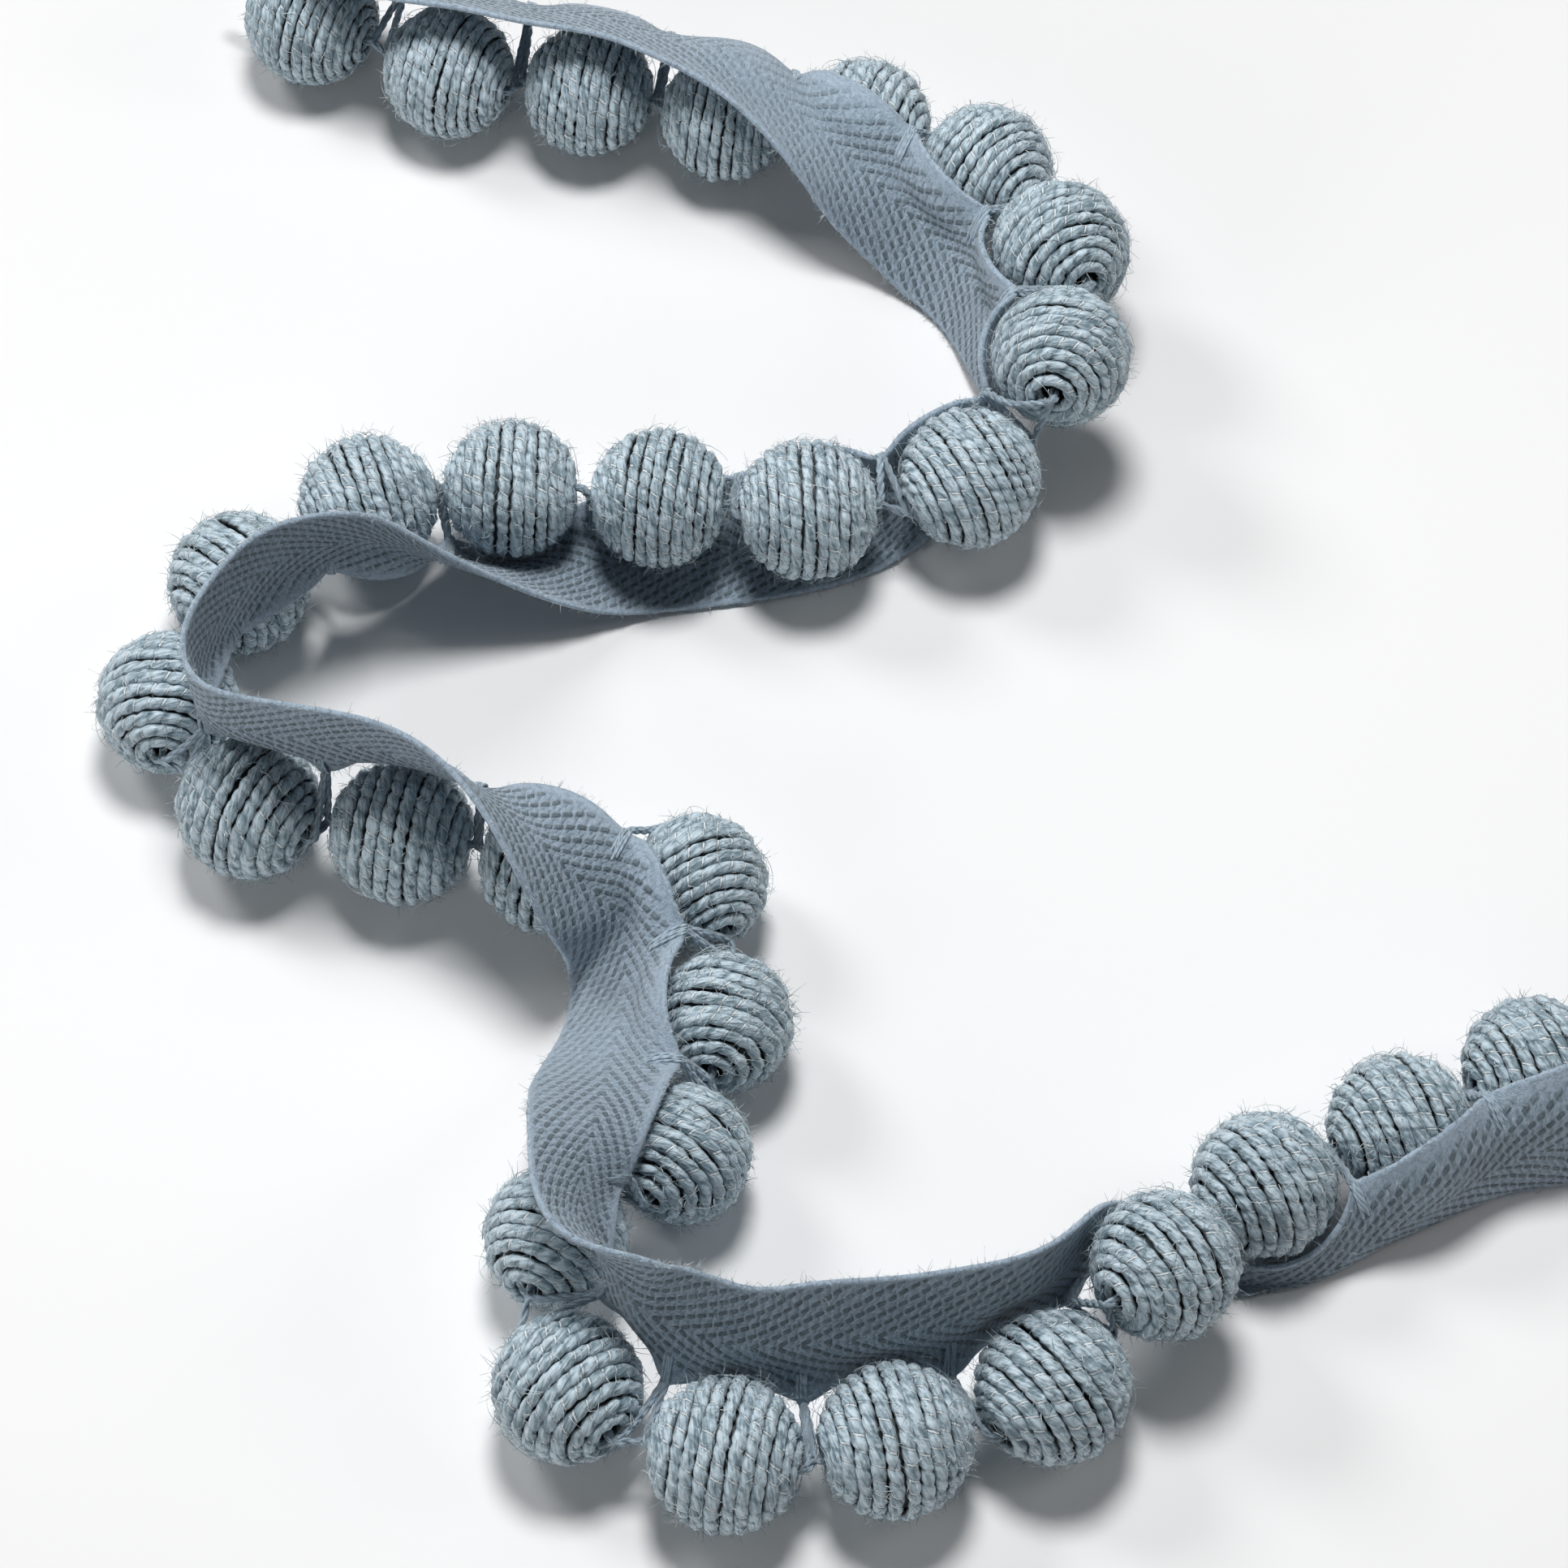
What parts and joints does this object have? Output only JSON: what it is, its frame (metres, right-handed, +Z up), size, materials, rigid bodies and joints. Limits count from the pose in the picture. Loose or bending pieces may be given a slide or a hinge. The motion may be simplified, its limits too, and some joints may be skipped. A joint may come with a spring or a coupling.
{
  "type": "ball trim",
  "caption": "Narrow twill tape with a row of twine-wound balls strung along one edge, lying in a loose serpentine on a flat surface.",
  "frame": {"origin": "bottom centre of the trim's bounding box, on the surface it lies on", "axes": "+Z up from the surface, +Y the long way of the serpentine towards its first ball, +X to the right of it"},
  "size_m": [0.1542, 0.1918, 0.0266],
  "materials": {
    "jute": "slate twine, wound and hairy",
    "yarn": "slate thread",
    "twill": "slate blue herringbone tape"
  },
  "bodies": {
    "root": {"ball_01": "jute", "ball_02": "jute", "ball_03": "jute", "ball_04": "jute", "ball_05": "jute", "ball_06": "jute", "ball_07": "jute", "ball_08": "jute", "ball_09": "jute", "ball_10": "jute", "ball_11": "jute", "ball_12": "jute", "ball_13": "jute", "ball_14": "jute", "ball_15": "jute", "ball_16": "jute", "ball_17": "jute", "ball_18": "jute", "ball_19": "jute", "ball_20": "jute", "ball_21": "jute", "ball_22": "jute", "ball_23": "jute", "ball_24": "jute", "ball_25": "jute", "ball_26": "jute", "ball_27": "jute", "ball_28": "jute", "ball_29": "jute", "ball_30": "jute", "stringing_yarn": "yarn", "tape": "twill"}
  },
  "joints": []
}
